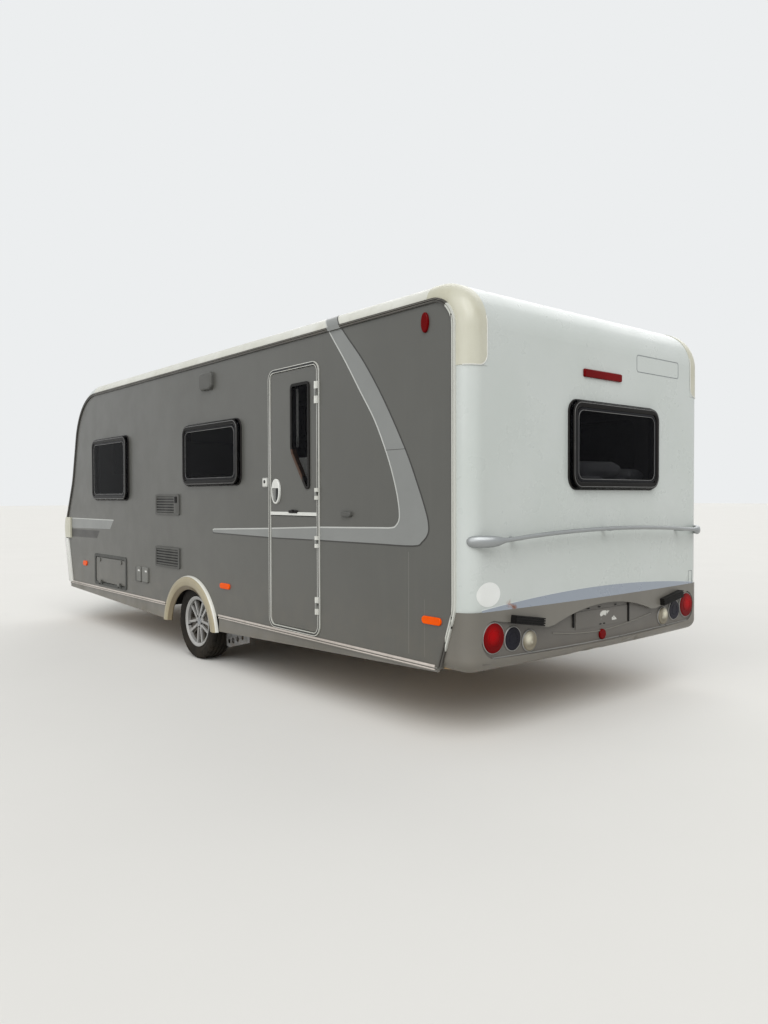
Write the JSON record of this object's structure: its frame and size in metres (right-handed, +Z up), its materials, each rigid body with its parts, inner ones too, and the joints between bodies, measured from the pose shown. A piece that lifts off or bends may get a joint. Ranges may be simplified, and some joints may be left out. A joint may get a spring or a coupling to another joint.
{
  "type": "travel caravan",
  "caption": "Single-axle touring caravan with a stable door, rounded mouldings, drawbar, jockey wheel and corner steadies.",
  "frame": {"origin": "on the ground at the middle of the overall length and width", "axes": "+X forward to the coupling, +Y to the left (entry door) side, +Z up"},
  "size_m": [7.9712, 2.582, 2.725],
  "materials": {
    "side_skin": "painted sandwich panel",
    "white_moulding": "gloss white",
    "cream_moulding": "aged cream gloss",
    "grey_moulding": "satin grey beige",
    "roof_skin": "painted sandwich panel",
    "sandwich_board": "bare ply",
    "aluminium_trim": "anodised",
    "galvanised_steel": "galvanised",
    "dark_plastic": "satin black",
    "window_plastic": "dark grey gloss",
    "smoked_acrylic": "smoked",
    "grey_plastic": "satin grey",
    "white_plastic": "gloss white",
    "red_lens": "clear red",
    "dark_lens": "smoked lens",
    "clear_lens": "clear ribbed lens",
    "amber_lens": "clear amber",
    "alloy": "painted silver",
    "tyre": "worn rubber",
    "cabinet_wood": "laminate",
    "upholstery": "woven",
    "bedding": "cotton"
  },
  "bodies": {
    "caravan": {"floor": "sandwich_board", "left_wall": "side_skin", "right_wall": "side_skin", "roof": "roof_skin", "rear_panel": "white_moulding", "front_panel": "white_moulding", "front_lower_panel": "white_moulding", "rear_bumper": "grey_moulding", "locker_box": "sandwich_board", "wheel_boxes": "dark_plastic", "awning_rails": "aluminium_trim", "corner_mouldings": "cream_moulding", "side_skirts": "aluminium_trim", "arch_trims": "cream_moulding", "window_frames": "window_plastic", "window_panes": "smoked_acrylic", "door_frame": "aluminium_trim", "service_door_frame": "grey_plastic", "louvre_vents": "grey_plastic", "wall_fittings": "grey_plastic", "rear_grips": "dark_plastic", "amber_markers": "amber_lens", "red_markers": "red_lens", "awning_lamp": "grey_plastic", "rear_rail": "alloy", "roof_fittings": "white_plastic", "chassis_members": "galvanised_steel", "crossmembers": "galvanised_steel", "drawbar": "galvanised_steel", "steady_brackets": "galvanised_steel", "jacking_brackets": "galvanised_steel", "axle": "galvanised_steel", "coupling": "galvanised_steel", "handbrake": "dark_plastic", "jockey_clamp": "galvanised_steel", "furniture": "cabinet_wood", "mattresses": "bedding", "seat_cushions": "upholstery", "rear_red_lamps": "red_lens", "rear_dark_lamps": "dark_lens", "rear_clear_lamps": "clear_lens"},
    "left_wheel": {"left_rim": "alloy", "left_tyre": "tyre"},
    "right_wheel": {"right_rim": "alloy", "right_tyre": "tyre"},
    "upper_door": {"door_upper_leaf": "side_skin", "door_window_frame": "window_plastic", "door_pane": "smoked_acrylic"},
    "lower_door": {"door_lower_leaf": "side_skin"},
    "service_flap": {"service_door": "side_skin"},
    "gas_lid": {"gas_locker_lid": "white_moulding"},
    "jockey_tube": {"jockey_stem": "galvanised_steel"},
    "jockey_castor": {"jockey_fork": "galvanised_steel"},
    "jockey_roller": {"jockey_wheel": "tyre"},
    "rear_left_leg": {"rear_left_steady": "galvanised_steel"},
    "rear_right_leg": {"rear_right_steady": "galvanised_steel"},
    "front_left_leg": {"front_left_steady": "galvanised_steel"},
    "front_right_leg": {"front_right_steady": "galvanised_steel"}
  },
  "joints": [
    {"name": "left_wheel_spin", "type": "hinge", "parent": "caravan", "child": "left_wheel", "pos_m": [-0.55057, 1.115, 0.326], "axis": [0, 1, 0], "continuous": true},
    {"name": "right_wheel_spin", "type": "hinge", "parent": "caravan", "child": "right_wheel", "pos_m": [-0.55057, -1.115, 0.326], "axis": [0, 1, 0], "continuous": true},
    {"name": "upper_door_hinge", "type": "hinge", "parent": "caravan", "child": "upper_door", "pos_m": [-2.45957, 1.268, 1.8], "axis": [0, 0, 1], "range_deg": [0, 170]},
    {"name": "lower_door_hinge", "type": "hinge", "parent": "caravan", "child": "lower_door", "pos_m": [-2.45957, 1.268, 0.9], "axis": [0, 0, 1], "range_deg": [0, 170]},
    {"name": "service_flap_hinge", "type": "hinge", "parent": "caravan", "child": "service_flap", "pos_m": [1.33243, 1.266, 0.503], "axis": [-1, 0, 0], "range_deg": [0, 95]},
    {"name": "gas_lid_hinge", "type": "hinge", "parent": "caravan", "child": "gas_lid", "pos_m": [2.80782, 0, 1.007], "axis": [0, -1, 0], "range_deg": [0, 75]},
    {"name": "jockey_height", "type": "slide", "parent": "caravan", "child": "jockey_tube", "axis": [0, 0, 1], "range_m": [0, 0.09]},
    {"name": "jockey_swivel", "type": "hinge", "parent": "jockey_tube", "child": "jockey_castor", "pos_m": [3.53243, 0.19, 0.24], "axis": [0, 0, 1], "continuous": true},
    {"name": "jockey_spin", "type": "hinge", "parent": "jockey_castor", "child": "jockey_roller", "pos_m": [3.47043, 0.19, 0.1], "axis": [0, 1, 0], "continuous": true},
    {"name": "rear_left_steady_swing", "type": "hinge", "parent": "caravan", "child": "rear_left_leg", "pos_m": [-2.82757, 0.74, 0.372], "axis": [0, -1, 0], "range_deg": [0, 42]},
    {"name": "rear_right_steady_swing", "type": "hinge", "parent": "caravan", "child": "rear_right_leg", "pos_m": [-2.82757, -0.74, 0.372], "axis": [0, -1, 0], "range_deg": [0, 42]},
    {"name": "front_left_steady_swing", "type": "hinge", "parent": "caravan", "child": "front_left_leg", "pos_m": [1.19243, 0.74, 0.372], "axis": [0, 1, 0], "range_deg": [0, 42]},
    {"name": "front_right_steady_swing", "type": "hinge", "parent": "caravan", "child": "front_right_leg", "pos_m": [1.19243, -0.74, 0.372], "axis": [0, 1, 0], "range_deg": [0, 42]}
  ]
}
